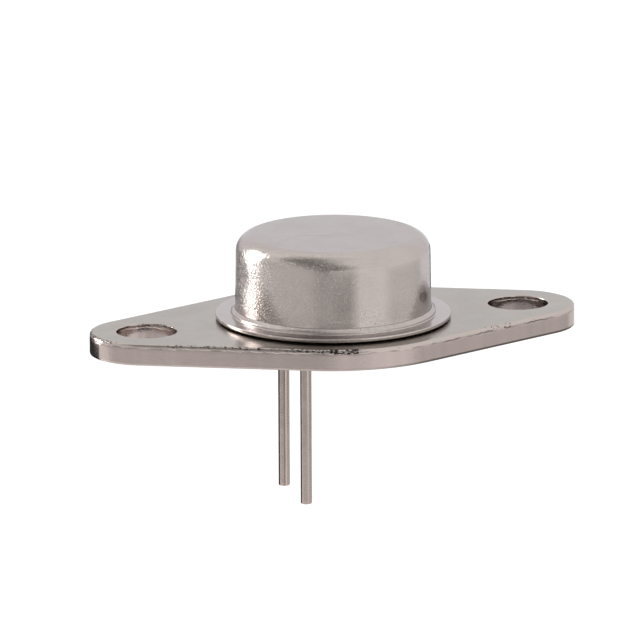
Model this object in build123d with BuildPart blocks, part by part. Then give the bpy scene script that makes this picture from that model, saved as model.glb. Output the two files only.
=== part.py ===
"""A dual Schottky rectifier in a two-lead, lozenge-flanged metal can (JEDEC TO-213 outline).

A nickel-plated steel plate carries everything. Two round leads pass through it in glass seals, and
a drawn steel cap is ring-welded over the middle. Inside, two Schottky dies stand on a copper heat
spreader, which joins both cathodes to the plate, and a formed strap joins each anode to its lead.

All sizes are in millimetres. The origin is midway between the screw holes, on the underside that
seats on the heat sink. +X runs along the two screw holes, and +Z points up through the cap.
"""

import os
from math import dist, radians, sqrt, tan

from build123d import *

# Plate
plate_thickness = 1.36
hole_spacing = 24.38
hole_radius = 1.89
end_radius = 3.57
waist_radius = 8.79
edge_bevel = 0.2
hole_bevel = 0.07

# Leads and their glass seals
lead_radius = 0.36
lead_offset = 2.55
lead_pitch = 4.83
lead_length = 9.96
lead_plating = 0.01
lead_end_chamfer = 0.08
lead_stub = 0.35
eyelet_radius = 1.15
glass_recess = 0.1
glass_meniscus = 0.14

# Cap
cap_height = 5.37
cap_root_radius = 6.17
cap_taper = 0.8
cap_gauge = 0.3
cap_corner = 1.05
cap_mouth_bend = 0.4
flange_width = 1.23
flange_gauge = 0.22
flange_lift = 0.13
flange_rim_bevel = 0.04
bead_width = 0.27
bead_height = 0.38
bead_round = 0.18
weld_foot = 0.3
weld_slope = 0.13

# Heat spreader
spreader_length = 4.4
spreader_width = 6.6
spreader_thickness = 0.8
spreader_corner = 0.45
spreader_bevel = 0.06
spreader_offset = 1.65
spreader_solder_thickness = 0.06
spreader_solder_margin = 0.12

# Dies
die_side = 2.5
die_thickness = 0.3
die_pitch = 3.2
anode_pad_inset = 0.16
anode_pad_height = 0.02
die_solder_thickness = 0.05
die_solder_margin = 0.08

# Anode straps
strap_width = 1.3
strap_gauge = 0.2
strap_arch = 0.55
strap_slope = 0.7
strap_overhang = 0.75
strap_pad_length = 1.5
strap_bend = 0.25
strap_hole_clearance = 0.04
anode_solder_thickness = 0.05
anode_solder_margin = 0.1
post_solder_reach = 0.3
post_solder_rise = 0.26

# Levels, from the seating face up
plate_top = plate_thickness
cap_top = plate_top + cap_height
flange_under = plate_top + flange_lift
flange_top = flange_under + flange_gauge
spreader_level = plate_top + spreader_solder_thickness
die_solder_level = spreader_level + spreader_thickness
die_level = die_solder_level + die_solder_thickness
pad_level = die_level + die_thickness
die_top = pad_level + anode_pad_height
strap_level = die_top + anode_solder_thickness
strap_top = strap_level + strap_gauge
lead_top = strap_top + lead_stub

# Places on the plate, one for each side of the X axis
sides = {"left": 1, "right": -1}
lead_places = {name: (-lead_offset, side * lead_pitch / 2) for name, side in sides.items()}
die_places = {name: (spreader_offset, side * die_pitch / 2) for name, side in sides.items()}

os.makedirs("parts", exist_ok=True)


def save(piece, name):
    """Labels a finished piece and writes it to its own STEP file."""
    piece.part.label = name
    export_step(piece.part, f"parts/{name}.step")


# Plate: the lozenge is the outline stretched round three circles, punched from the top
with BuildPart() as base_plate:
    with BuildSketch():
        Circle(waist_radius)
        with GridLocations(hole_spacing, 0, 2, 1):
            Circle(end_radius)
        make_hull()
    extrude(amount=plate_thickness)
    chamfer(base_plate.faces().sort_by(Axis.Z)[-1].edges(), edge_bevel)
    with GridLocations(hole_spacing, 0, 2, 1):
        Hole(hole_radius)
    screw_rims = base_plate.faces().sort_by(Axis.Z)[-1].edges().filter_by(GeomType.CIRCLE)
    chamfer(screw_rims.filter_by(lambda rim: abs(rim.radius - hole_radius) < 1e-6), hole_bevel)
    with Locations(*lead_places.values()):
        Hole(eyelet_radius)
save(base_plate, "base_plate")


# Cap: one drawn shell with a bead pressed round its foot, whose flange stands on a weld ring
wall_lean = tan(radians(cap_taper))
root_level = flange_top + bead_height
cap_crown_radius = cap_root_radius - (cap_top - root_level) * wall_lean
bore_crown_radius = cap_crown_radius - cap_gauge
bore_mouth_radius = cap_root_radius - cap_gauge + (root_level - flange_under) * wall_lean
flange_radius = cap_root_radius + flange_width
bead_radius = cap_root_radius + bead_width
weld_radius = (bead_radius + flange_radius) / 2
weld_inner = weld_radius - weld_foot / 2
weld_outer = weld_radius + weld_foot / 2

cap_bore_corner = (bore_crown_radius, cap_top - cap_gauge)
cap_bore_mouth = (bore_mouth_radius, flange_under)
rim_bottom = (flange_radius, flange_under)
rim_top = (flange_radius, flange_top)
bead_foot = (bead_radius, flange_top)
bead_shoulder = (bead_radius, root_level)
wall_root = (cap_root_radius, root_level)
cap_crown = (cap_crown_radius, cap_top)

# Inside, a bevel that touches the middle of its arc stands for each bend of the sheet
bend_bevel = 2 - sqrt(2)

with BuildPart() as cap:
    with BuildSketch(Plane.XZ) as cap_section:
        with BuildLine():
            Polyline(
                (0, cap_top),
                (0, cap_top - cap_gauge),
                cap_bore_corner,
                cap_bore_mouth,
                (weld_inner - weld_slope, flange_under),
                (weld_inner, plate_top),
                (weld_outer, plate_top),
                (weld_outer + weld_slope, flange_under),
                rim_bottom,
                rim_top,
                bead_foot,
                bead_shoulder,
                wall_root,
                cap_crown,
                close=True,
            )
        make_face()
        for corner, radius in ((cap_crown, cap_corner), (bead_shoulder, bead_round)):
            fillet(cap_section.vertices().sort_by_distance(corner)[0], radius)
        for corner, length in (
            (cap_bore_corner, (cap_corner - cap_gauge) * bend_bevel),
            (cap_bore_mouth, cap_mouth_bend * bend_bevel),
            (rim_top, flange_rim_bevel),
            (rim_bottom, flange_rim_bevel),
        ):
            chamfer(cap_section.vertices().sort_by_distance(corner)[0], length)
    revolve(axis=Axis.Z)
save(cap, "cap")


# Leads: straight pins, plated on both sides of the glass, with a small bevel at both ends
lead_core_radius = lead_radius - lead_plating
glass_bottom = glass_recess
glass_top = plate_top - glass_recess
for name, place in lead_places.items():
    with BuildPart() as lead:
        with BuildSketch(Plane(origin=(*place, 0), x_dir=(1, 0, 0), z_dir=(0, -1, 0))) as lead_section:
            with BuildLine():
                Polyline(
                    (0, -lead_length),
                    (lead_radius, -lead_length),
                    (lead_radius, glass_bottom),
                    (lead_core_radius, glass_bottom),
                    (lead_core_radius, glass_top),
                    (lead_radius, glass_top),
                    (lead_radius, lead_top),
                    (0, lead_top),
                    close=True,
                )
            make_face()
            for end in (-lead_length, lead_top):
                chamfer(lead_section.vertices().sort_by_distance((lead_radius, end))[0], lead_end_chamfer)
        revolve(axis=Axis((*place, 0), (0, 0, 1)))
    save(lead, f"anode_lead_{name}")


# Glass seals: a bead fused between lead and eyelet, drawn along both walls by its meniscus
glass_radius = (lead_core_radius + eyelet_radius) / 2
for name, place in lead_places.items():
    with BuildPart() as seal:
        with BuildSketch(Plane(origin=(*place, 0), x_dir=(1, 0, 0), z_dir=(0, -1, 0))):
            with BuildLine():
                Polyline(
                    (lead_core_radius, glass_bottom),
                    (glass_radius, glass_bottom + glass_meniscus),
                    (eyelet_radius, glass_bottom),
                    (eyelet_radius, glass_top),
                    (glass_radius, glass_top - glass_meniscus),
                    (lead_core_radius, glass_top),
                    close=True,
                )
            make_face()
        revolve(axis=Axis((*place, 0), (0, 0, 1)))
    save(seal, f"glass_seal_{name}")


# Heat spreader and the solder that holds it down
with BuildPart() as spreader_solder:
    with BuildSketch(Plane.XY.offset(plate_top)):
        with Locations((spreader_offset, 0)):
            RectangleRounded(
                spreader_length + 2 * spreader_solder_margin,
                spreader_width + 2 * spreader_solder_margin,
                spreader_corner + spreader_solder_margin,
            )
    extrude(amount=spreader_solder_thickness)
save(spreader_solder, "spreader_solder")

with BuildPart() as heat_spreader:
    with BuildSketch(Plane.XY.offset(spreader_level)):
        with Locations((spreader_offset, 0)):
            RectangleRounded(spreader_length, spreader_width, spreader_corner)
    extrude(amount=spreader_thickness)
    chamfer(heat_spreader.faces().sort_by(Axis.Z)[-1].edges(), spreader_bevel)
save(heat_spreader, "heat_spreader")


# Dies: bare silicon with a raised anode pad, soldered down by the cathode side
for name, place in die_places.items():
    with BuildPart() as die_solder:
        with BuildSketch(Plane.XY.offset(die_solder_level)):
            with Locations(place):
                Rectangle(die_side + 2 * die_solder_margin, die_side + 2 * die_solder_margin)
        extrude(amount=die_solder_thickness)
    save(die_solder, f"die_solder_{name}")

    with BuildPart() as die:
        with BuildSketch(Plane.XY.offset(die_level)):
            with Locations(place):
                Rectangle(die_side, die_side)
        extrude(amount=die_thickness)
        with BuildSketch(Plane.XY.offset(pad_level)):
            with Locations(place):
                Rectangle(die_side - 2 * anode_pad_inset, die_side - 2 * anode_pad_inset)
        extrude(amount=anode_pad_height)
    save(die, f"die_{name}")


# Anode straps: strip bent over an arch, with an eye at the lead and a pad on the die
for name in sides:
    lead_place = lead_places[name]
    die_place = die_places[name]
    span = dist(lead_place, die_place)
    along = ((die_place[0] - lead_place[0]) / span, (die_place[1] - lead_place[1]) / span, 0)
    across = (along[1], -along[0], 0)
    lead_axis = Axis((*lead_place, 0), (0, 0, 1))
    strap_plane = Plane(origin=(*lead_place, strap_level), x_dir=along, z_dir=across)
    arch_start = strap_overhang
    arch_end = span - strap_pad_length / 2

    with BuildPart() as anode_strap:
        with BuildSketch(strap_plane):
            with BuildLine():
                FilletPolyline(
                    (-strap_overhang, 0),
                    (arch_start, 0),
                    (arch_start + strap_slope, strap_arch),
                    (arch_end - strap_slope, strap_arch),
                    (arch_end, 0),
                    (arch_end + strap_pad_length, 0),
                    radius=strap_bend,
                )
                offset(amount=strap_gauge, side=Side.LEFT)
            make_face()
        extrude(amount=strap_width / 2, both=True)
        with BuildSketch(Plane.XY.offset(strap_level)):
            with Locations(lead_place):
                Circle(lead_radius + strap_hole_clearance)
        extrude(amount=strap_gauge, mode=Mode.SUBTRACT)
    save(anode_strap, f"anode_strap_{name}")

    with BuildPart() as anode_solder:
        with BuildSketch(Plane(origin=(*die_place, die_top), x_dir=along, z_dir=(0, 0, 1))):
            Rectangle(strap_pad_length + anode_solder_margin, strap_width + anode_solder_margin)
        extrude(amount=anode_solder_thickness)
    save(anode_solder, f"anode_solder_{name}")

    with BuildPart() as post_solder:
        with BuildSketch(Plane(origin=(*lead_place, 0), x_dir=(1, 0, 0), z_dir=(0, -1, 0))):
            with BuildLine():
                Polyline(
                    (lead_radius, strap_top + post_solder_rise),
                    (lead_radius, strap_level),
                    (lead_radius + strap_hole_clearance, strap_level),
                    (lead_radius + strap_hole_clearance, strap_top),
                    (lead_radius + post_solder_reach, strap_top),
                    close=True,
                )
            make_face()
        revolve(axis=lead_axis)
    save(post_solder, f"post_solder_{name}")
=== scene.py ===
"""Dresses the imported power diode: nickel plate, drawn cap, leads, glass seals and the parts inside.

Lengths are in metres, apart from the millimetres in the lists of sizes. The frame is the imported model's:
the origin is midway between the screw holes on the seating face, +X runs along the holes and +Z points
up through the cap.
"""

from math import atan2, cos, hypot, pi, radians, sin, tan

import bmesh
import bpy
from bpy.props import FloatProperty, FloatVectorProperty, PointerProperty
from mathutils import Matrix, Vector


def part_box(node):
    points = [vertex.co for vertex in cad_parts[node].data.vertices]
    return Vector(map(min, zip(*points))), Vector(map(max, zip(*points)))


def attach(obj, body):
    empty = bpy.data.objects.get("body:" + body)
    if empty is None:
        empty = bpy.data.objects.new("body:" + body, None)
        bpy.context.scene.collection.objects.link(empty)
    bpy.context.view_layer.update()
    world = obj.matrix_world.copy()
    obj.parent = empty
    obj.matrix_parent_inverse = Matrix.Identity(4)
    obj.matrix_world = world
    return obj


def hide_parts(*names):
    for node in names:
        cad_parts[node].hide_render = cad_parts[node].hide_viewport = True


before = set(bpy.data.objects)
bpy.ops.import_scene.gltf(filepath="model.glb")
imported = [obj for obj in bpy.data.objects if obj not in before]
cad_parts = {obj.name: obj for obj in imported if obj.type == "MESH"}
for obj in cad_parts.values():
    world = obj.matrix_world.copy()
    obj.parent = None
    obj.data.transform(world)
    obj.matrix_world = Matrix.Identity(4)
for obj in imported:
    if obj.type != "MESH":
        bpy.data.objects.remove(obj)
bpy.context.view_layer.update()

bl_info = {
    "name": "Lozenge-flanged power diode",
    "version": (1, 0, 0),
    "blender": (4, 5, 0),
    "location": "View3D > Sidebar > Diode",
    "description": "Models and finishes a power diode in a nickel-plated metal can",
    "category": "Object",
}

MM = 0.001
NEAR = 0.001 * MM
CREASE = radians(35)
SIDES = {"left": 1, "right": -1}

plate_low, plate_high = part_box("base_plate")
_, cap_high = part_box("cap")
lead_low, lead_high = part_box("anode_lead_left")
seal_low, seal_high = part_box("glass_seal_left")
lead_x = (lead_low.x + lead_high.x) / 2
lead_y = (lead_low.y + lead_high.y) / 2


def offset(name, default, about, **limits):
    """A place along one way that a user may change; its default is in millimetres."""
    return FloatProperty(
        name=name, description=about, default=default * MM, precision=5, unit="LENGTH", **limits
    )


def length(name, default, about):
    """A size that a user may change; its default is in millimetres."""
    return offset(name, default, about, min=0, subtype="DISTANCE")


def angle(name, default, about):
    """An angle that a user may change; its default is in degrees."""
    turn = radians(default)
    return FloatProperty(name=name, description=about, default=turn, unit="ROTATION", subtype="ANGLE")


def colour(name, default, about):
    """A linear colour that a user may change."""
    return FloatVectorProperty(
        name=name, description=about, default=default, size=3, min=0, max=1, subtype="COLOR"
    )


def level_way(turn):
    """The level direction at a turn from the front."""
    return Vector((sin(turn), -cos(turn), 0))


class PlateSizes(bpy.types.PropertyGroup):
    hole_spacing: length("Hole spacing", 24.38, "Between the axes of the two screw holes")
    hole_radius: length("Hole radius", 1.89, "Radius of each screw hole")
    end_radius: length("End radius", 3.57, "Radius of the outline round each screw hole")
    rolled_edge: length("Rolled edge", 0.2, "How far the punched edge rolls over at the top")
    under_edge: length("Lower edge", 0.05, "Rounding where the punch left the plate")
    bore_edge: length("Hole edge", 0.07, "Rounding at the top of each screw hole")
    eyelet_radius: length("Eyelet radius", 1.15, "Radius of the holes that hold the glass")
    unevenness: length("Edge unevenness", 0.014, "How far the rolled edge strays from true")
    tear_depth: length("Tear depth", 0.26, "Depth under the top face where the rolled edge tore")
    tear_wander: length("Tear wander", 0.26, "How far that line strays up and down")
    # Height of the painted shadow line along the lower edge
    lower_shadow_rise: length("Painted shadow rise", 0.14, "Height of the burr line over the lower face")
    # Reach of the painted dark reflection past the right bore's wall
    painted_reflection_reach: length("Stain reach", 0.07, "How far the right bore's stain reaches past its wall")
    pits_start: offset("Pits from", -12.5, "Where the pits along the front edge begin, from the middle")
    pits_thicken: offset("Pits thicken", -3.7, "Where they lie closer together")
    pits_end: offset("Pits to", -0.85, "Where they end")
    tip_pits: offset("End pits", -14.95, "Where those at the left end begin")
    few_start: offset("Few pits from", 8.0, "Where the few on the right wing begin")
    few_end: offset("Few pits to", 10.25, "Where they end")


class CapSizes(bpy.types.PropertyGroup):
    gauge: length("Wall", 0.3, "Thickness of the drawn wall and crown")
    root_radius: length("Root radius", 6.17, "Radius of the wall where it meets the bead")
    taper: angle("Taper", 0.8, "Draft of the drawn wall")
    crown_corner: length("Crown corner", 1.05, "Outer radius of the corner round the crown")
    mouth_bend: length("Mouth bend", 0.4, "Rounding of the bore where it opens out")
    flange_gauge: length("Flange", 0.26, "Thickness of the pressed flange")
    flange_lift: length("Flange lift", 0.09, "Gap between plate and flange outside the weld")
    rim_round: length("Rim rounding", 0.035, "Rounding of the flange's outer edge")
    rim_under: length("Rim underside", 0.11, "Rounding where the rim turns under")
    bead_width: length("Bead width", 0.27, "How far the bead stands out from the wall's root")
    bead_height: length("Bead height", 0.38, "Rise of the bead over the flange")
    bead_slope: length("Bead slope", 0.21, "Drop of the bead's sloping top")
    bead_foot: length("Bead foot", 0.05, "Fillet between bead and flange")
    crease: length("Crease", 0.035, "Depth of the crease between bead and wall")
    weld_foot: length("Weld ring", 0.3, "Width of the welded ring under the flange")
    weld_slope: length("Weld ring slope", 0.13, "Run of each side of the welded ring")
    waviness: length("Waviness", 0.012, "How far the drawn sheet strays from true")
    dent_turn: angle("Dent turn", -84.852, "Place of the dent round the wall, from the front")
    dent_level: length("Dent level", 4.3, "Height of the dent over the seating face")
    dent_depth: length("Dent depth", 0.05, "Depth of the dent")
    dent_reach: length("Dent reach", 1.3, "How far the dent spreads")
    grain_turn: angle("Grain turn", -80.85, "Middle of the coarser plating round the wall")
    grain_middle: angle("Grain middle", 14, "Half the turn over which it is coarsest")
    grain_reach: angle("Grain reach", 31, "Half the turn over which it shows at all")


class LeadSizes(bpy.types.PropertyGroup):
    plating: length("Plating", 0.01, "Step where the plating stops at the glass")
    recess: length("Glass recess", 0.1, "Depth of the glass below each face of the plate")
    meniscus: length("Meniscus", 0.14, "How far the glass dips between lead and eyelet")
    cut_edge: length("Cut edge", 0.08, "Rounding at the cut ends")
    unevenness: length("Unevenness", 0.012, "How far the drawn wire strays from true")
    # The turn round each lead at which its painted highlight and painted dark line lie
    painted_line_turn: angle("Line turn", 73.14, "The way in which the lines along the leads are spaced")


class Finishes(bpy.types.PropertyGroup):
    cap_nickel: colour("Cap nickel", (0.53, 0.475, 0.445), "Plating on the drawn cap")
    cap_worn: colour("Worn cap nickel", (0.50, 0.446, 0.416), "Plating on the cap where it is handled")
    plate_nickel: colour("Plate nickel", (0.47, 0.435, 0.405), "Plating on the plate's faces")
    plate_worn: colour("Worn plate nickel", (0.44, 0.405, 0.377), "Plating on the plate where it is handled")
    rolled: colour("Rolled nickel", (0.54, 0.47, 0.435), "Plating over the rolled edge")
    sheared: colour("Sheared nickel", (0.50, 0.42, 0.395), "Plating over the punched edges and bores")
    lead_nickel: colour("Lead nickel", (0.395, 0.332, 0.307), "Plating on the leads")
    lead_worn: colour("Worn lead nickel", (0.355, 0.293, 0.268), "Plating on the leads where it is rubbed")
    # A painted highlight line and a painted dark line along the leads, at a fixed turn round each lead
    lead_burnished: colour("Painted highlight lead", (0.553, 0.4714, 0.4359), "Painted highlight line along the leads")
    lead_score: colour("Lead score", (0.2449, 0.176, 0.1443), "Painted dark line along the left lead")
    # A painted dark reflection on the right bore's wall
    painted_reflection: colour("Painted reflection", (0.2, 0.168, 0.158), "Stain in the right bore")
    # Near-black painted shade, laid in the pitting, along the tear and along the lower edge
    pits: colour("Pits", (0.05, 0.042, 0.04), "Painted shade held in the pits along the punched edge")
    glass: colour("Sealing glass", (0.42, 0.55, 0.46), "Compression glass round the leads")
    copper: colour("Copper", (0.80, 0.42, 0.27), "Heat spreader and anode straps")
    solder: colour("Solder", (0.50, 0.49, 0.47), "Soft solder")
    silicon: colour("Silicon", (0.11, 0.12, 0.15), "Bare face of the dies")


class StageSetup(bpy.types.PropertyGroup):
    azimuth: angle("Azimuth", -16.852, "Camera's turn round the object")
    elevation: angle("Elevation", 13.7515, "Camera's height over the horizon")
    roll: angle("Roll", -0.2743, "Camera's lean")
    distance: length("Distance", 650.58, "From the camera to the point that it looks at")
    aim_right: offset("Aim right", -0.8388, "Shift of that point along the view")
    aim_up: offset("Aim up", 1.1082, "Shift of that point up the view")
    lens: FloatProperty(name="Lens", description="Focal length", default=582.34, min=1, unit="CAMERA")
    floor_drop: length("Floor drop", 60, "Depth of the floor below the seating face")
    floor_radius: length("Floor radius", 600, "Where the floor has faded out")
    lamp_distance: length("Lamp distance", 200, "From the part to the soft lamp")
    lamp_width: length("Lamp width", 66, "Width of the soft lamp")
    lamp_height: length("Lamp height", 170, "Height of the soft lamp")
    lamp_power: FloatProperty(name="Lamp power", description="Power of the soft lamp", default=0.2, min=0)


# Modelling by hand, step by step


def start(name, add, **settings):
    """Adds a primitive as a new piece and leaves it in edit mode, selected all over."""
    if bpy.context.object and bpy.context.object.mode != "OBJECT":
        bpy.ops.object.mode_set(mode="OBJECT")
    bpy.ops.object.select_all(action="DESELECT")
    add(**settings)
    piece = bpy.context.object
    piece.name = piece.data.name = name
    bpy.ops.object.mode_set(mode="EDIT")
    bpy.ops.mesh.select_mode(type="VERT")
    bpy.ops.mesh.select_all(action="SELECT")
    return piece


def pick(piece, kind, test):
    """Selects the vertices, edges or faces of a piece in edit mode that pass a test."""
    bpy.ops.mesh.select_mode(type=kind)
    bpy.ops.mesh.select_all(action="DESELECT")
    mesh = bmesh.from_edit_mesh(piece.data)
    parts = {"VERT": mesh.verts, "EDGE": mesh.edges, "FACE": mesh.faces}[kind]
    found = [part for part in parts if test(part)]
    for part in found:
        part.select_set(True)
    mesh.select_flush_mode()
    bmesh.update_edit_mesh(piece.data)
    if not found:
        raise RuntimeError(f"nothing of {piece.name} was picked")


def close_up():
    """Merges the doubles of the piece in edit mode and points every face outwards."""
    bpy.ops.mesh.select_all(action="SELECT")
    bpy.ops.mesh.remove_doubles(threshold=0.1 * NEAR)
    bpy.ops.mesh.normals_make_consistent(inside=False)


def leave(piece):
    """Leaves edit mode with the piece's place in its mesh and its curved faces smooth."""
    bpy.ops.object.mode_set(mode="OBJECT")
    bpy.ops.object.select_all(action="DESELECT")
    piece.select_set(True)
    bpy.context.view_layer.objects.active = piece
    bpy.ops.object.transform_apply(location=True, rotation=True, scale=True)
    bpy.ops.object.shade_smooth_by_angle(angle=CREASE)


def apply_modifier(piece, kind, **settings):
    """Adds one modifier to a piece in object mode and applies it."""
    bpy.context.view_layer.objects.active = piece
    modifier = piece.modifiers.new(kind.title(), kind)
    for setting, value in settings.items():
        setattr(modifier, setting, value)
    bpy.ops.object.modifier_apply(modifier=modifier.name)


def stray(piece, weights, size, by, depth=2):
    """Moves vertices a little, as weights say, by a procedural cloud of that size."""
    cloud = bpy.data.textures.new(f"{piece.name} unevenness", "CLOUDS")
    cloud.noise_scale = size
    cloud.noise_depth = depth
    group = piece.vertex_groups.new(name="uneven")
    for vertex, weight in weights.items():
        group.add([vertex], weight, "REPLACE")
    apply_modifier(
        piece,
        "DISPLACE",
        texture=cloud,
        texture_coords="LOCAL",
        vertex_group=group.name,
        strength=by,
        mid_level=1.0,
        direction="NORMAL",
    )
    piece.vertex_groups.clear()


def turned(name, axis, section, steps, closed=True):
    """Draws a section of (radius, height) points, some with a rounding and its segments, and spins it."""
    first = section[0]
    piece = start(
        name, bpy.ops.mesh.primitive_plane_add, size=MM, location=(axis[0] + first[0], axis[1], first[1])
    )
    bpy.ops.mesh.merge(type="CENTER")
    for (r0, z0, *_), (r1, z1, *_) in zip(section, section[1:]):
        bpy.ops.mesh.extrude_vertices_move(TRANSFORM_OT_translate={"value": (r1 - r0, 0, z1 - z0)})
    origin = piece.location.copy()

    def pick_points(*points):
        places = [Vector((axis[0] + r, axis[1], z)) - origin for r, z, *_ in points]
        pick(piece, "VERT", lambda v: any((v.co - place).length < NEAR for place in places))

    if closed:
        pick_points(section[0], section[-1])
        bpy.ops.mesh.edge_face_add()
    count = len(section)
    for i, (radius, height, *corner) in enumerate(section):
        if not corner:
            continue
        rounding, segments = corner
        r0, z0 = section[i - 1][:2]
        r1, z1 = section[(i + 1) % count][:2]
        into = atan2(height - z0, radius - r0)
        out = atan2(z1 - height, r1 - radius)
        bend = abs((out - into + pi) % (2 * pi) - pi)
        pick_points((radius, height))
        bpy.ops.mesh.bevel(
            offset_type="ABSOLUTE",
            offset=rounding * tan(bend / 2),
            segments=segments,
            profile=0.5,
            affect="VERTICES",
        )
    bpy.ops.mesh.select_mode(type="VERT")
    bpy.ops.mesh.select_all(action="SELECT")
    bpy.ops.mesh.spin(
        steps=steps, angle=2 * pi, center=(axis[0], axis[1], 0), axis=(0, 0, 1), use_auto_merge=True
    )
    close_up()
    return piece


def finish_in(piece, material):
    """Gives a piece one finish in place of what it had."""
    piece.data.materials.clear()
    piece.data.materials.append(material)


def stand_for(piece, material, nodes):
    """Finishes a piece and lets it ride with the part in place of its plain solids."""
    finish_in(piece, material)
    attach(piece, "root")
    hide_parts(*nodes)


# Finishes


class Wiring:
    """Adds and joins the nodes of one material, group or world."""

    def __init__(self, tree):
        self.tree = tree

    def feed(self, socket, value):
        """Joins another socket to this one, or sets its plain value."""
        if isinstance(value, bpy.types.NodeSocket):
            self.tree.links.new(value, socket)
        else:
            socket.default_value = value

    def add(self, kind, sockets=None, **settings):
        """Adds a shader node, joins or sets its sockets and makes its settings."""
        node = self.tree.nodes.new(f"ShaderNode{kind}")
        for setting, value in settings.items():
            setattr(node, setting, value)
        for socket, value in (sockets or {}).items():
            self.feed(node.inputs[socket], value)
        return node

    def group(self, name, **sockets):
        """Places one of the shared groups and returns its outputs."""
        return self.add("Group", sockets, node_tree=bpy.data.node_groups[name]).outputs

    def maths(self, operation, first, *others):
        """Works on a value with one other after another."""
        for other in others or (0.0,):
            first = self.add("Math", {0: first, 1: other}, operation=operation).outputs[0]
        return first

    def plus(self, *values):
        return self.maths("ADD", *values)

    def minus(self, first, second):
        return self.maths("SUBTRACT", first, second)

    def times(self, *factors):
        return self.maths("MULTIPLY", *factors)

    def vector(self, operation, a, b=(0, 0, 0)):
        return self.add("VectorMath", {0: a, 1: b}, operation=operation).outputs[0]

    def measure(self, operation, a, b=(0, 0, 0)):
        """A length or dot product of vectors."""
        return self.add("VectorMath", {0: a, 1: b}, operation=operation).outputs["Value"]

    def facing(self, place, direction):
        """How far a point looks a level way from the Z axis: 1 straight at it, -1 straight away."""
        around = self.vector("NORMALIZE", self.vector("MULTIPLY", place, (1.0, 1.0, 0.0)))
        return self.measure("DOT_PRODUCT", around, direction)

    def split(self, vector):
        return self.add("SeparateXYZ", {"Vector": vector}).outputs

    def noise(self, vector, scale, detail=2.0, roughness=0.5):
        return self.add(
            "TexNoise", {"Vector": vector, "Scale": scale, "Detail": detail, "Roughness": roughness}
        ).outputs["Fac"]

    def ramp(self, value, low, high, to_low=0.0, to_high=1.0):
        return self.add(
            "MapRange",
            {"Value": value, "From Min": low, "From Max": high, "To Min": to_low, "To Max": to_high},
            interpolation_type="SMOOTHSTEP",
        ).outputs["Result"]

    def step(self, value, middle, width, to_high=1.0):
        """Rises from nothing over a width round a middle, or falls over a negative width."""
        return self.ramp(value, middle - width / 2, middle + width / 2, 0.0, to_high)

    def mix(self, factor, a, b):
        return self.add("Mix", {0: factor, 6: a, 7: b}, data_type="RGBA").outputs[2]

    def shade(self, **sockets):
        """Joins or sets sockets of the material's shader."""
        for socket, value in sockets.items():
            self.feed(self.tree.nodes["Principled BSDF"].inputs[socket.replace("_", " ")], value)

    def complete(self, tint, roughness, height, depth):
        """Feeds the shader its tone, its roughness and its relief of that depth."""
        bump = self.add("Bump", {"Height": height, "Distance": depth, "Strength": 1.0})
        self.shade(Base_Color=tint, Roughness=roughness, Normal=bump.outputs["Normal"])


def new_group(name, inputs, outputs):
    """A new shader group: sockets by kind, or by a plain value's default; returns its wiring and its ends."""
    tree = bpy.data.node_groups.new(name, "ShaderNodeTree")
    for socket, kind in inputs.items():
        plain = not isinstance(kind, str)
        socket_type = f"NodeSocket{'Float' if plain else kind}"
        made = tree.interface.new_socket(socket, in_out="INPUT", socket_type=socket_type)
        if plain:
            made.default_value = kind
    for socket, kind in outputs.items():
        tree.interface.new_socket(socket, in_out="OUTPUT", socket_type=f"NodeSocket{kind}")
    given, made = (tree.nodes.new(f"NodeGroup{end}") for end in ("Input", "Output"))
    return Wiring(tree), given.outputs, made.inputs


def build_groups():
    """The shader groups that the finishes share."""
    wiring, given, made = new_group(
        "Plating grain", {"Vector": "Vector", "Grains": 9000.0}, {"Height": "Float"}
    )
    fine = wiring.noise(given["Vector"], given["Grains"], detail=1.5)
    coarse = wiring.noise(given["Vector"], wiring.times(given["Grains"], 0.27))
    coarse = wiring.times(coarse, 0.5)
    wiring.feed(made["Height"], wiring.plus(wiring.times(fine, 0.6), coarse))

    wiring, given, made = new_group(
        "Drawing lines", {"Vector": "Vector", "Around": 2.0, "Along": 9000.0}, {"Height": "Float"}
    )
    x, y, z = wiring.split(given["Vector"])
    turn = wiring.vector("NORMALIZE", wiring.add("CombineXYZ", {"X": x, "Y": y}).outputs[0])
    turn = wiring.add("VectorMath", {0: turn, "Scale": given["Around"]}, operation="SCALE").outputs[0]
    rise = wiring.add("CombineXYZ", {"Z": wiring.times(z, given["Along"])}).outputs[0]
    place = wiring.vector("ADD", turn, rise)
    wiring.feed(made["Height"], wiring.noise(place, 1.0, detail=3.0, roughness=0.6))

    wiring, given, made = new_group(
        "Worn tone",
        {"Vector": "Vector", "Patches": 300.0, "Clean": "Color", "Worn": "Color"},
        {"Color": "Color", "Wear": "Float"},
    )
    wear = wiring.ramp(wiring.noise(given["Vector"], given["Patches"], detail=5.0, roughness=0.6), 0.38, 0.68)
    wiring.feed(made["Color"], wiring.mix(wear, given["Clean"], given["Worn"]))
    wiring.feed(made["Wear"], wear)

    wiring, given, made = new_group(
        "Pits", {"Vector": "Vector", "Pits": 4000.0, "Amount": 0.4}, {"Mask": "Float"}
    )
    spot = wiring.noise(given["Vector"], given["Pits"], detail=1.0)
    edge = wiring.times(wiring.minus(1.0, given["Amount"]), 0.75)
    wiring.feed(made["Mask"], wiring.ramp(wiring.minus(spot, edge), 0.0, 0.12))


def new_material(name, **shader):
    """A material with a plain Principled shader; returns it, its wiring and its coordinates."""
    material = bpy.data.materials.new(name)
    material.use_nodes = True
    wiring = Wiring(material.node_tree)
    wiring.shade(**shader)
    return material, wiring, wiring.add("TexCoord").outputs["Object"]


def solid(tint, share=1.0):
    """A property's colour, or a share of it, for a colour socket."""
    return (*(share * c for c in tint), 1.0)


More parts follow.
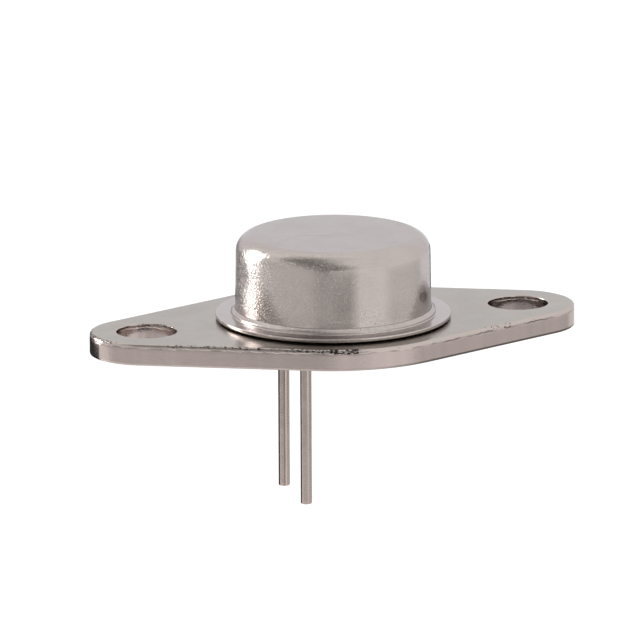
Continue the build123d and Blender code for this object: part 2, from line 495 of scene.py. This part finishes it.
def nickel(kind, finish, glance, grains, lines=None, pinholes=0.0, side="", centre=None):
    """Starts a nickel plating: its slightly uneven tone, its pebbled satin grain and faint drawing lines."""
    material, wiring, place = new_material(
        f"{kind} nickel {side}".strip(), Metallic=1.0, Specular_Tint=solid(glance)
    )
    if centre:
        place = wiring.add("Mapping", {"Vector": place, "Location": [-c for c in centre]}).outputs[0]
    clean, worn = (solid(getattr(finish, f"{kind}_{state}")) for state in ("nickel", "worn"))
    tone = wiring.group("Worn tone", Vector=place, Patches=350.0, Clean=clean, Worn=worn)
    height = wiring.group("Plating grain", Vector=place, Grains=grains)["Height"]
    if lines:
        around, along, share = lines
        line = wiring.group("Drawing lines", Vector=place, Around=around, Along=along)["Height"]
        height = wiring.plus(height, wiring.times(line, share))
    if pinholes:
        holes = wiring.group("Pits", Vector=place, Pits=1.2 * grains, Amount=0.2)["Mask"]
        height = wiring.minus(height, wiring.times(holes, pinholes))
    return material, wiring, place, tone, height


def edge_pits(wiring, place, depth, size):
    """Pits along the front edge: a stretch that thickens, the wing's end and a few on the other wing."""
    along, across, _ = wiring.split(place)
    ending = wiring.step(along, size.pits_end, -1.1 * MM)
    pitting = wiring.plus(
        wiring.times(wiring.step(along, size.pits_start, 3.4 * MM, 0.66), ending),
        wiring.times(wiring.step(along, size.pits_thicken, 2.2 * MM, 0.42), ending),
        wiring.times(
            wiring.step(along, size.few_start, 1.0 * MM, 0.45), wiring.step(along, size.few_end, -0.5 * MM)
        ),
        wiring.step(along, size.tip_pits, -0.7 * MM),
    )
    clusters = wiring.ramp(wiring.noise(place, 2300.0, detail=1.0), 0.4, 0.6, 0.7, 1.25)
    front = wiring.step(across, 2.5 * MM, -2 * MM)
    pitting = wiring.times(pitting, clusters, front)
    spot = wiring.noise(wiring.vector("MULTIPLY", place, (0.7, 0.7, 1.5)), 9000.0, detail=1.5, roughness=0.6)
    level = wiring.minus(0.72, wiring.times(pitting, 0.28))
    pits = wiring.ramp(wiring.minus(spot, level), 0.0, 0.03)
    reach = wiring.ramp(along, -6 * MM, -2.5 * MM, 0.1 * MM, 0.24 * MM)
    shallow = wiring.ramp(wiring.minus(depth, reach), 0.04 * MM, 0.0)
    return wiring.times(pits, shallow)


def plate_nickel(finish, size):
    """Nickel over punched steel: satin faces, smoother sheared walls, a rolled edge that tore and its
    pitting; near-black painted shade along the tear, the lower edge and in the pitting, and a painted dark
    reflection in the right bore.
    """
    material, wiring, place, tone, height = nickel("plate", finish, (0.78, 0.775, 0.775), 11000.0)
    along, _, level = wiring.split(place)
    normal = wiring.add("NewGeometry").outputs["Normal"]
    upright = wiring.maths("ABSOLUTE", wiring.split(normal)["Z"])
    sheared = wiring.ramp(upright, 0.55, 0.35)

    # Depth under the top face, with a ragged limit where the rolled edge tore away
    stretched = wiring.vector("MULTIPLY", place, (1.0, 1.0, 0.3))
    wander = wiring.noise(stretched, 1300.0, detail=3.0, roughness=0.65)
    wander = wiring.times(wiring.minus(wander, 0.5), size.tear_wander)
    depth = wiring.plus(wiring.minus(plate_high.z, level), wander)
    tear = size.tear_depth
    band = wiring.times(
        wiring.ramp(upright, 0.998, 0.97), wiring.ramp(depth, tear + 0.01 * MM, tear - 0.04 * MM)
    )
    # A painted shade line in patches along the tear, a little stronger towards the right
    tear_shade = wiring.times(
        wiring.ramp(depth, tear - 0.06 * MM, tear - 0.01 * MM),
        wiring.ramp(depth, tear + 0.06 * MM, tear + 0.01 * MM),
        wiring.ramp(wiring.noise(place, 900.0), 0.4, 0.65),
        wiring.ramp(along, 3.5 * MM, 6 * MM, 0.6, 0.8),
    )
    # A painted shadow line just over the lower face, darker towards the right
    lower_shadow = wiring.times(
        wiring.step(wiring.minus(level, plate_low.z), size.lower_shadow_rise, -0.06 * MM),
        wiring.ramp(along, -1 * MM, 5 * MM, 0.15, 0.9),
        wiring.ramp(upright, 0.99, 0.95),
    )
    pits = wiring.times(edge_pits(wiring, place, depth, size), band)

    # The sheared walls are streaked by the punch, and the right bore's wall gets a painted dark reflection
    streaks = wiring.noise(wiring.vector("MULTIPLY", place, (1500.0, 1500.0, 160.0)), 1.0, detail=3.0)
    walls = wiring.mix(wiring.ramp(streaks, 0.3, 0.7), solid(finish.sheared), solid(finish.sheared, 0.94))
    off_axis = wiring.vector("SUBTRACT", place, (size.hole_spacing / 2, 0, 0))
    off_axis = wiring.measure("LENGTH", wiring.vector("MULTIPLY", off_axis, (1.0, 1.0, 0.0)))
    painted_reflection_mask = wiring.step(off_axis, size.hole_radius + size.painted_reflection_reach, -0.08 * MM, 0.73)
    walls = wiring.mix(painted_reflection_mask, walls, solid(finish.painted_reflection))

    tint = wiring.mix(sheared, tone["Color"], walls)
    tint = wiring.mix(band, tint, solid(finish.rolled))
    # Near-black painted shade along the tear, the lower edge's line and in the pitting
    for mark in (tear_shade, lower_shadow, pits):
        tint = wiring.mix(mark, tint, solid(finish.pits))
    satin = wiring.ramp(tone["Wear"], 0, 1, 0.18, 0.22)
    relief = wiring.plus(
        wiring.times(height, wiring.ramp(sheared, 0, 1, 1.0, 0.45)),
        wiring.times(streaks, sheared, 0.3),
        wiring.times(height, band, 1.5),
        wiring.times(pits, -1.2),
    )
    roughness = wiring.minus(satin, wiring.times(sheared, 0.06))
    wiring.complete(tint, roughness, relief, 0.008 * MM)
    return material


def cap_nickel(finish, size):
    """The cap's plating, brighter on the flange and pebbled more deeply on one side."""
    material, wiring, place, tone, height = nickel(
        "cap", finish, (0.785, 0.785, 0.82), 14000.0, lines=(2.5, 16000.0, 0.12), pinholes=1.4
    )
    rise = wiring.minus(wiring.split(place)["Z"], plate_high.z)
    flange = wiring.ramp(rise, 0.5 * MM, 0.4 * MM)
    tint = wiring.mix(flange, tone["Color"], solid(finish.cap_nickel, 1.06))
    side = wiring.facing(place, level_way(size.grain_turn))
    pebbles = wiring.times(
        wiring.noise(place, 7000.0, detail=1.0),
        3.5,
        wiring.ramp(side, cos(size.grain_reach), cos(size.grain_middle)),
        wiring.ramp(rise, 0.75 * MM, 1.05 * MM),
    )
    satin = wiring.ramp(tone["Wear"], 0, 1, 0.1, 0.14)
    wiring.complete(tint, satin, wiring.plus(height, pebbles), 0.007 * MM)
    return material


def lead_nickel(name, finish, size, centre, painted_dark_share):
    """A lead's plating, with a painted highlight line and a painted dark line along it, set at a fixed turn
    round the lead.
    """
    material, wiring, place, tone, height = nickel(
        "lead", finish, (0.8, 0.79, 0.79), 9000.0, lines=(9.0, 200.0, 1.6), side=name, centre=centre
    )
    # A painted highlight line and a painted dark line, set at a fixed turn round the lead
    side = wiring.facing(place, level_way(size.painted_line_turn))
    drop = wiring.minus(plate_low.z, wiring.split(place)["Z"])
    fading = wiring.ramp(drop, 2.5 * MM, 6 * MM, 0.85, 0.4 + 0.5 * painted_dark_share)
    painted_highlight = wiring.times(wiring.ramp(side, 0.23, 0.3), wiring.ramp(side, 0.5, 0.42), fading)
    painted_dark_line = wiring.times(wiring.ramp(side, -0.1, -0.02), wiring.ramp(side, 0.27, 0.21, 0.0, painted_dark_share))
    tint = wiring.mix(painted_highlight, tone["Color"], solid(finish.lead_burnished))
    tint = wiring.mix(painted_dark_line, tint, solid(finish.lead_score))
    wiring.complete(tint, wiring.ramp(tone["Wear"], 0, 1, 0.13, 0.17), height, 0.003 * MM)
    return material


def sealing_glass(finish):
    """Pale green compression glass with fine bubbles and a faintly uneven fire-polished face."""
    material, wiring, place = new_material("sealing glass", Transmission_Weight=1.0, IOR=1.52, Metallic=0.0)
    bubbles = wiring.group("Pits", Vector=place, Pits=9000.0, Amount=0.36)["Mask"]
    cloudy = wiring.ramp(wiring.noise(place, 1800.0, detail=4.0), 0.35, 0.7)
    tint = wiring.mix(cloudy, solid(finish.glass), solid(finish.glass, 0.8))
    wiring.complete(tint, wiring.ramp(bubbles, 0, 1, 0.06, 0.35), bubbles, 0.004 * MM)
    return material


def drawn_copper(name, finish, stretch):
    """Copper with rolling lines one way and dull oxide patches."""
    material, wiring, place = new_material(name, Metallic=1.0)
    clean, dull = solid(finish.copper), solid(finish.copper, 0.62)
    tone = wiring.group("Worn tone", Vector=place, Patches=900.0, Clean=clean, Worn=dull)
    lines = wiring.noise(wiring.vector("MULTIPLY", place, stretch), 1.0, detail=3.0)
    wiring.complete(tone["Color"], wiring.ramp(tone["Wear"], 0, 1, 0.24, 0.45), lines, 0.004 * MM)
    return material


def soft_solder(finish):
    """Solder that froze with a dull, crystalline skin."""
    material, wiring, place = new_material("soft solder", Metallic=1.0)
    crystals = wiring.add("TexVoronoi", {"Vector": place, "Scale": 7000.0}).outputs["Distance"]
    tint = wiring.mix(wiring.ramp(crystals, 0.1, 0.7), solid(finish.solder), solid(finish.solder, 0.7))
    wiring.complete(tint, wiring.ramp(crystals, 0.0, 0.8, 0.28, 0.5), crystals, 0.008 * MM)
    return material


def bare_silicon(finish):
    """Silicon with a metal pad on top and a dark, lapped wall."""
    material, wiring, place = new_material("bare silicon", Metallic=0.0)
    normal = wiring.add("NewGeometry").outputs["Normal"]
    up = wiring.ramp(wiring.split(normal)["Z"], 0.5, 0.9)
    frost = wiring.noise(place, 12000.0, detail=3.0)
    tint = wiring.mix(up, solid(finish.silicon), solid(finish.plate_nickel))
    wiring.shade(Metallic=up)
    wiring.complete(tint, wiring.ramp(frost, 0.2, 0.8, 0.15, 0.4), frost, 0.001 * MM)
    return material


# Operators, one for each piece or group of like pieces


class DIODE_OT_plate(bpy.types.Operator):
    """Punches the lozenge plate with its rolled edge, screw holes and eyelets"""

    bl_idname = "diode.plate"
    bl_label = "Plate"

    def execute(self, context):
        size = context.scene.diode_plate
        depth = plate_high.z - plate_low.z
        half = size.hole_spacing / 2
        piece = start(
            "nickel_plate",
            bpy.ops.mesh.primitive_circle_add,
            vertices=288,
            radius=plate_high.y,
            fill_type="NGON",
            location=(0, 0, 0),
        )
        for side in SIDES.values():
            bpy.ops.mesh.primitive_circle_add(
                vertices=120, radius=size.end_radius, fill_type="NGON", location=(side * half, 0, 0)
            )
        bpy.ops.mesh.select_all(action="SELECT")
        bpy.ops.transform.translate(value=(0, 0, plate_low.z))
        bpy.ops.mesh.extrude_region_move(TRANSFORM_OT_translate={"value": (0, 0, depth)})
        bpy.ops.mesh.select_all(action="SELECT")
        bpy.ops.mesh.convex_hull()
        bpy.ops.mesh.select_all(action="SELECT")
        bpy.ops.mesh.dissolve_limited(angle_limit=radians(0.4))

        # Short steps along the straight flanks and down the wall, so that the edge can stray
        def drop(edge):
            return abs(edge.verts[0].co.z - edge.verts[1].co.z)

        def lies_at(edge, height):
            return all(abs(v.co.z - height) < 0.1 * NEAR for v in edge.verts)

        level = plate_high.z
        pick(piece, "EDGE", lambda e: e.calc_length() > 5 * MM and drop(e) < 0.1 * NEAR)
        bpy.ops.mesh.subdivide(number_cuts=58)
        pick(piece, "EDGE", lambda e: lies_at(e, level))
        bpy.ops.mesh.bevel(offset=size.rolled_edge, segments=6, profile=0.55, affect="EDGES")
        pick(piece, "EDGE", lambda e: lies_at(e, plate_low.z))
        bpy.ops.mesh.bevel(offset=size.under_edge, segments=2, profile=0.5, affect="EDGES")
        pick(piece, "EDGE", lambda e: drop(e) > depth / 2)
        bpy.ops.mesh.subdivide(number_cuts=11)
        for inset in (0.12 * MM, 0.2 * MM):
            pick(piece, "FACE", lambda f: f.normal.z > 0.999 and f.calc_area() > 100 * MM * MM)
            bpy.ops.mesh.inset(thickness=inset)
        close_up()
        leave(piece)

        punches = start(
            "punches",
            bpy.ops.mesh.primitive_cylinder_add,
            vertices=128,
            radius=size.hole_radius,
            depth=4 * depth,
            location=(-half, 0, 0),
        )
        bpy.ops.mesh.primitive_cylinder_add(
            vertices=128, radius=size.hole_radius, depth=4 * depth, location=(half, 0, 0)
        )
        for side in SIDES.values():
            bpy.ops.mesh.primitive_cylinder_add(
                vertices=64, radius=size.eyelet_radius, depth=4 * depth, location=(lead_x, side * lead_y, 0)
            )
        leave(punches)
        apply_modifier(piece, "BOOLEAN", operation="DIFFERENCE", solver="EXACT", object=punches)
        bpy.data.objects.remove(punches)

        bpy.context.view_layer.objects.active = piece
        bpy.ops.object.mode_set(mode="EDIT")

        def by_hole(co):
            return abs(hypot(abs(co.x) - half, co.y) - size.hole_radius) < NEAR

        pick(piece, "EDGE", lambda e: lies_at(e, level) and all(by_hole(v.co) for v in e.verts))
        bpy.ops.mesh.bevel(offset=size.bore_edge, segments=3, profile=0.5, affect="EDGES")

        # Short rows down the bores and narrow rings on the faces keep both true beside the roundings
        pick(piece, "EDGE", lambda e: drop(e) > depth / 2 and all(by_hole(v.co) for v in e.verts))
        bpy.ops.mesh.subdivide(number_cuts=11)
        for up in (1, -1):
            pick(piece, "FACE", lambda f: f.normal.z * up > 0.999 and f.calc_area() > 5 * MM * MM)
            bpy.ops.mesh.inset(thickness=0.04 * MM)
        close_up()
        leave(piece)

        # The punched edge strays from true all round; the faces and bores stay flat
        def outside(co):
            return (
                hypot(abs(co.x) - half, co.y) > size.hole_radius + 0.5 * MM
                and hypot(co.x - lead_x, abs(co.y) - lead_y) > size.eyelet_radius + 0.2 * MM
            )

        roll = level - size.rolled_edge * 1.9
        weights = {
            v.index: min(1.0, (v.co.z - roll) / size.rolled_edge)
            for v in piece.data.vertices
            if roll < v.co.z < level - NEAR and outside(v.co)
        }
        stray(piece, weights, 0.8 * MM, size.unevenness)
        material = plate_nickel(context.scene.diode_finishes, size)
        stand_for(piece, material, ["base_plate"])
        return {"FINISHED"}


class DIODE_OT_cap(bpy.types.Operator):
    """Spins the drawn cap with its crown corner, pressed bead, flange and weld ring"""

    bl_idname = "diode.cap"
    bl_label = "Cap"

    def execute(self, context):
        size = context.scene.diode_cap
        plate = plate_high.z
        crown = cap_high.z
        under = plate + size.flange_lift
        flange = under + size.flange_gauge
        root = flange + size.bead_height
        lean = tan(size.taper)
        crown_radius = size.root_radius - (crown - root) * lean
        bead = size.root_radius + size.bead_width
        weld = (bead + cap_high.x) / 2
        inner = weld - size.weld_foot / 2
        outer = weld + size.weld_foot / 2
        mouth = size.root_radius - size.gauge + (root - under) * lean
        rows = 14
        low = root + 0.1 * MM
        wall = [
            (crown_radius + (crown - z) * lean, z)
            for z in (low + (crown - 1.25 * size.crown_corner - low) * i / rows for i in range(rows + 1))
        ]
        piece = turned(
            "nickel_cap",
            (0, 0),
            [
                (0, crown),
                (0, crown - size.gauge),
                (crown_radius - size.gauge, crown - size.gauge, size.crown_corner - size.gauge, 6),
                (mouth, under, size.mouth_bend, 5),
                (inner - size.weld_slope, under),
                (inner, plate),
                (outer, plate),
                (outer + size.weld_slope, under),
                (cap_high.x, under, size.rim_under, 5),
                (cap_high.x, flange, size.rim_round, 4),
                (cap_high.x - 1.6 * size.rim_round, flange),
                (bead + 1.4 * size.bead_foot, flange),
                (bead, flange, size.bead_foot, 4),
                (bead, root - size.bead_slope, 0.08 * MM, 4),
                (size.root_radius + 1.2 * size.crease, root, 0.03 * MM, 3),
                (size.root_radius + 0.2 * size.crease, root - size.crease),
                *wall,
                (crown_radius, crown, size.crown_corner, 14),
                *((crown_radius * share, crown) for share in (0.62, 0.4, 0.2)),
            ],
            224,
        )

        # One shallow dent under the crown's corner
        outwards = level_way(size.dent_turn)
        dent = outwards * (size.root_radius - 3 * lean * MM)
        dent.z = size.dent_level
        local = dent - piece.location
        pick(piece, "VERT", lambda v: (v.co - local).length < 0.2 * MM)
        bpy.ops.transform.translate(
            value=-size.dent_depth * outwards,
            use_proportional_edit=True,
            proportional_edit_falloff="SMOOTH",
            proportional_size=size.dent_reach,
        )
        leave(piece)
        weights = {
            v.index: min(1.0, (v.co.z - root) / (0.6 * MM)) * min(1.0, (crown - v.co.z) / (0.3 * MM))
            for v in piece.data.vertices
            if root < v.co.z < crown - NEAR and hypot(v.co.x, v.co.y) > crown_radius - size.crown_corner
        }
        stray(piece, weights, 1.6 * MM, size.waviness, depth=1)
        stand_for(piece, cap_nickel(context.scene.diode_finishes, size), ["cap"])
        return {"FINISHED"}


class DIODE_OT_leads(bpy.types.Operator):
    """Draws the two round leads, each plated on both sides of the glass and cut at its end"""

    bl_idname = "diode.leads"
    bl_label = "Leads"

    def execute(self, context):
        size = context.scene.diode_leads
        bottom, top = lead_low.z, lead_high.z
        radius = (lead_high.x - lead_low.x) / 2
        core = radius - size.plating
        glass_low, glass_high = plate_low.z + size.recess, plate_high.z - size.recess
        rows = 40
        for name, side in SIDES.items():
            axis = (lead_x, side * lead_y)
            shank = [(radius, bottom + (glass_low - bottom) * i / rows) for i in range(1, rows)]
            piece = turned(
                f"nickel_lead_{name}",
                axis,
                [
                    (0, bottom),
                    (radius, bottom, size.cut_edge, 4),
                    *shank,
                    (radius, glass_low),
                    (core, glass_low),
                    (core, glass_high),
                    (radius, glass_high),
                    (radius, top, size.cut_edge, 3),
                    (0, top),
                ],
                40,
                closed=False,
            )
            leave(piece)
            weights = {
                v.index: min(1.0, (glass_low - v.co.z) / MM)
                for v in piece.data.vertices
                if v.co.z < glass_low - 0.05 * MM
            }
            stray(piece, weights, 0.9 * MM, size.unevenness)
            # Only the left lead gets the painted dark line
            painted_dark_share = 0.8 if name == "left" else 0.0
            material = lead_nickel(name, context.scene.diode_finishes, size, (*axis, 0), painted_dark_share)
            stand_for(piece, material, [f"anode_lead_{name}"])
        return {"FINISHED"}


class DIODE_OT_glass(bpy.types.Operator):
    """Fuses a glass bead with a dipped face round each lead"""

    bl_idname = "diode.glass"
    bl_label = "Glass seals"

    def execute(self, context):
        size = context.scene.diode_leads
        core = (lead_high.x - lead_low.x) / 2 - size.plating
        eyelet = (seal_high.x - seal_low.x) / 2
        low, high = plate_low.z + size.recess, plate_high.z - size.recess
        dip = [(0.12, 0.45), (0.3, 0.85), (0.5, 1.0), (0.7, 0.85), (0.88, 0.45)]
        material = sealing_glass(context.scene.diode_finishes)
        for name, side in SIDES.items():
            piece = turned(
                f"glass_bead_{name}",
                (lead_x, side * lead_y),
                [
                    (core, low),
                    *((core + (eyelet - core) * x, low + size.meniscus * d) for x, d in dip),
                    (eyelet, low),
                    (eyelet, high),
                    *((core + (eyelet - core) * x, high - size.meniscus * d) for x, d in reversed(dip)),
                    (core, high),
                ],
                64,
            )
            leave(piece)
            stand_for(piece, material, [f"glass_seal_{name}"])
        return {"FINISHED"}


class DIODE_OT_inside(bpy.types.Operator):
    """Finishes the spreader, dies, straps and solder that the cap hides"""

    bl_idname = "diode.inside"
    bl_label = "Parts inside"

    def execute(self, context):
        finish = context.scene.diode_finishes
        copper = drawn_copper("spreader copper", finish, (400.0, 9000.0, 400.0))
        strip = drawn_copper("strap copper", finish, (1500.0, 9000.0, 9000.0))
        solder = soft_solder(finish)
        silicon = bare_silicon(finish)
        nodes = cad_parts
        finish_in(nodes["heat_spreader"], copper)
        finish_in(nodes["spreader_solder"], solder)
        for name in SIDES:
            finish_in(nodes[f"die_{name}"], silicon)
            finish_in(nodes[f"anode_strap_{name}"], strip)
            for joint in ("die_solder", "anode_solder", "post_solder"):
                finish_in(nodes[f"{joint}_{name}"], solder)
        return {"FINISHED"}


def towards(setup, turn, rise):
    """The direction at an angle from the camera's azimuth, to its right, and over the horizon."""
    azimuth = setup.azimuth + turn
    return Vector((sin(azimuth) * cos(rise), -cos(azimuth) * cos(rise), sin(rise)))


def hang(thing, x_axis, z_axis, place):
    """Places a stage object by its own X and Z axes."""
    thing.matrix_world = Matrix.Translation(place) @ Matrix(
        (x_axis, z_axis.cross(x_axis), z_axis)
    ).transposed().to_4x4()


def card_finish(name, low_grey, high_grey, reach):
    """An even card that fades out over its own edges; reach gives its ends and its fade along each axis."""
    material = bpy.data.materials.new(name)
    material.use_nodes = True
    material.node_tree.nodes.clear()
    wiring = Wiring(material.node_tree)
    split = wiring.split(wiring.add("TexCoord").outputs["Object"])
    cover = 1.0
    for axis, (end, fade) in reach.items():
        ends = (wiring.ramp(split[axis], side * end, side * (end - fade)) for side in (-1, 1))
        cover = wiring.times(cover, *ends)
    end = reach["Y"][0]
    strength = wiring.ramp(split["Y"], -end, end, low_grey, high_grey)
    glow = wiring.add("Emission", {"Strength": strength})
    clear = wiring.add("BsdfTransparent")
    both = wiring.add("MixShader", {0: cover, 1: clear.outputs[0], 2: glow.outputs[0]})
    wiring.add("OutputMaterial", {"Surface": both.outputs[0]})
    return material


def set_card(card, material):
    """Makes a card that only reflections show."""
    bpy.ops.object.mode_set(mode="OBJECT")
    finish_in(card, material)
    card.visible_camera = card.visible_diffuse = card.visible_shadow = False
    card.visible_transmission = card.visible_volume_scatter = False


def flat_card(
    setup, name, away, turn, rise, width, height, low_grey, high_grey, fade,
    level=0.0, lean=0.0, end_fade=None,
):
    """Hangs a flat card that faces the part, by its middle and its size seen from the part."""
    card = start(name, bpy.ops.mesh.primitive_grid_add, x_subdivisions=8, y_subdivisions=8, size=1)
    half_x, half_y = away * tan(radians(width) / 2), away * tan(radians(height) / 2)
    bpy.ops.transform.resize(value=(2 * half_x, 2 * half_y, 1))
    end_fade = away * radians(end_fade or fade)
    reach = {"X": (half_x, away * radians(fade)), "Y": (half_y, end_fade)}
    set_card(card, card_finish(name, low_grey, high_grey, reach))
    aim = towards(setup, radians(turn), radians(rise))
    sideways = Vector((0, 0, 1)).cross(aim).normalized()
    hang(card, Matrix.Rotation(radians(lean), 3, aim) @ sideways, aim, aim * away + Vector((0, 0, level)))


def bent_card(setup, name, away, low_end, high_end, width, low_grey, high_grey, fade, end_fade):
    """Bends a long card round the part, from one direction to another."""
    first, last = (towards(setup, radians(turn), radians(rise)) for turn, rise in (low_end, high_end))
    axis = first.cross(last).normalized()
    half = first.angle(last) / 2
    side = away * tan(radians(width) / 2)
    card = start(
        name, bpy.ops.mesh.primitive_plane_add, size=MM, location=(away * cos(half), -away * sin(half), -side)
    )
    bpy.ops.mesh.merge(type="CENTER")
    bpy.ops.mesh.extrude_vertices_move(TRANSFORM_OT_translate={"value": (0, 0, 2 * side)})
    bpy.ops.mesh.select_all(action="SELECT")
    bpy.ops.mesh.spin(steps=32, angle=-2 * half, center=(0, 0, 0), axis=(0, 0, 1))
    bpy.ops.object.mode_set(mode="OBJECT")
    bpy.ops.object.transform_apply(location=True, rotation=True, scale=True)
    reach = {"Y": (away * sin(half), away * radians(end_fade)), "Z": (side, away * radians(fade))}
    set_card(card, card_finish(name, low_grey, high_grey, reach))
    hang(card, (first + last).normalized(), axis, Vector((0, 0, 0)))


def floor_finish(name, radius):
    """A pale matt floor that fades into the white round it and is clear from below."""
    material, wiring, place = new_material(name, Emission_Color=(1, 1, 1, 1))
    speckle = wiring.noise(place, 400.0, detail=3.0)
    tint = wiring.mix(speckle, (0.9, 0.9, 0.9, 1.0), (0.86, 0.86, 0.86, 1.0))
    wiring.shade(Base_Color=tint, Roughness=wiring.ramp(speckle, 0.2, 0.8, 0.7, 0.8))
    path = wiring.add("LightPath").outputs
    seen = wiring.maths("MAXIMUM", path["Is Camera Ray"], path["Is Glossy Ray"])
    cover = wiring.ramp(wiring.measure("LENGTH", place), radius, 0.55 * radius)
    above = wiring.minus(1.0, wiring.add("NewGeometry").outputs["Backfacing"])
    wiring.shade(Emission_Strength=wiring.times(seen, 0.34), Alpha=wiring.times(cover, above))
    return material


class DIODE_OT_stage(bpy.types.Operator):
    """Lays the floor, hangs the soft lights and cards, and sets up the camera"""

    bl_idname = "diode.stage"
    bl_label = "Stage"

    def execute(self, context):
        setup = context.scene.diode_stage
        context.scene.view_settings.view_transform = "Standard"

        world = bpy.data.worlds.new("white studio")
        context.scene.world = world
        world.use_nodes = True
        wiring = Wiring(world.node_tree)
        background = world.node_tree.nodes["Background"]
        path = wiring.add("LightPath").outputs
        rays = (path[f"Is {kind} Ray"] for kind in ("Camera", "Glossy", "Transmission"))
        seen = wiring.maths("MAXIMUM", *rays)
        light = wiring.add("MapRange", {"Value": seen, "To Min": 0.8, "To Max": 1.0}).outputs["Result"]
        wiring.feed(background.inputs["Color"], (1, 1, 1, 1))
        wiring.feed(background.inputs["Strength"], light)

        floor = start(
            "floor",
            bpy.ops.mesh.primitive_circle_add,
            vertices=96,
            radius=setup.floor_radius,
            fill_type="NGON",
            location=(0, 0, plate_low.z - setup.floor_drop),
        )
        bpy.ops.mesh.inset(thickness=setup.floor_radius * 0.4)
        leave(floor)
        finish_in(floor, floor_finish("pale floor", setup.floor_radius))

        # The soft lamp to the left and behind, and the cards that shape the metal
        bpy.ops.object.light_add(type="AREA")
        lamp = bpy.context.object
        lamp.name = "soft lamp"
        lamp.data.shape = "RECTANGLE"
        lamp.data.size = setup.lamp_width
        lamp.data.size_y = setup.lamp_height
        lamp.data.energy = setup.lamp_power
        aim = towards(setup, radians(-112), radians(12.5))
        hang(lamp, Vector((0, 0, 1)).cross(aim).normalized(), aim, aim * setup.lamp_distance)

        # Each card's distance, its place and size in degrees, its greys and its fade in degrees
        bent_card(setup, "dark flag", 60 * MM, (11, -9), (-92, 60), 68, 0.27, 0.28, 33, 13)
        flat_card(setup, "front flag", 24 * MM, 10.5, 0, 38, 19, 0.32, 0.85, 15, level=1.7 * MM, end_fade=2.9)
        flat_card(setup, "low front flag", 60 * MM, 4, -15, 60, 26, 0.62, 0.62, 21)
        flat_card(setup, "grey card", 200 * MM, -42, 2, 112, 70, 0.735, 0.735, 21)
        flat_card(setup, "bright card", 200 * MM, 46, -8, 60, 50, 1.06, 1.06, 24)
        flat_card(setup, "back flag", 185 * MM, -148, -8, 46, 30, 0.4, 0.4, 7)
        flat_card(setup, "low flag", 18 * MM, -151, 0, 114, 60.5, 0.05, 0.05, 1, level=-11.1 * MM, lean=-5.5)
        flat_card(setup, "side card", 200 * MM, 94, -32, 78, 60, 0.15, 0.6, 23)
        flat_card(setup, "high card", 200 * MM, -30, 76, 60, 40, 0.85, 0.85, 17)

        back = towards(setup, 0, setup.elevation)
        level_right = Vector((cos(setup.azimuth), sin(setup.azimuth), 0))
        level_up = back.cross(level_right)
        right = level_right * cos(setup.roll) + level_up * sin(setup.roll)
        up = level_up * cos(setup.roll) - level_right * sin(setup.roll)
        aim = right * setup.aim_right + up * setup.aim_up
        bpy.ops.object.camera_add()
        camera = bpy.context.object
        camera.name = "camera"
        hang(camera, right, back, aim + back * setup.distance)
        camera.data.lens = setup.lens
        camera.data.sensor_width = 36
        camera.data.clip_start = 10 * MM
        camera.data.clip_end = 10
        context.scene.camera = camera
        return {"FINISHED"}


class DIODE_PT_panel(bpy.types.Panel):
    """Lists the steps and their sizes in the sidebar"""

    bl_idname = "DIODE_PT_panel"
    bl_label = "Power diode"
    bl_space_type = "VIEW_3D"
    bl_region_type = "UI"
    bl_category = "Diode"

    def draw(self, context):
        for operator, settings in STEPS:
            box = self.layout.box()
            box.operator(operator.bl_idname)
            group_of_settings = getattr(context.scene, settings)
            for name in group_of_settings.__annotations__:
                box.prop(group_of_settings, name)


SETTINGS = {
    "diode_plate": PlateSizes,
    "diode_cap": CapSizes,
    "diode_leads": LeadSizes,
    "diode_finishes": Finishes,
    "diode_stage": StageSetup,
}
STEPS = (
    (DIODE_OT_plate, "diode_plate"),
    (DIODE_OT_cap, "diode_cap"),
    (DIODE_OT_leads, "diode_leads"),
    (DIODE_OT_glass, "diode_leads"),
    (DIODE_OT_inside, "diode_finishes"),
    (DIODE_OT_stage, "diode_stage"),
)


def register():
    for made in (*SETTINGS.values(), *(operator for operator, _ in STEPS), DIODE_PT_panel):
        bpy.utils.register_class(made)
    for name, made in SETTINGS.items():
        setattr(bpy.types.Scene, name, PointerProperty(type=made))


def unregister():
    for name in SETTINGS:
        delattr(bpy.types.Scene, name)
    for made in (DIODE_PT_panel, *(operator for operator, _ in STEPS), *SETTINGS.values()):
        bpy.utils.unregister_class(made)


def main():
    register()
    build_groups()
    for operator, _ in STEPS:
        group_name, step = operator.bl_idname.split(".")
        getattr(getattr(bpy.ops, group_name), step)()


if __name__ == "__main__":
    main()
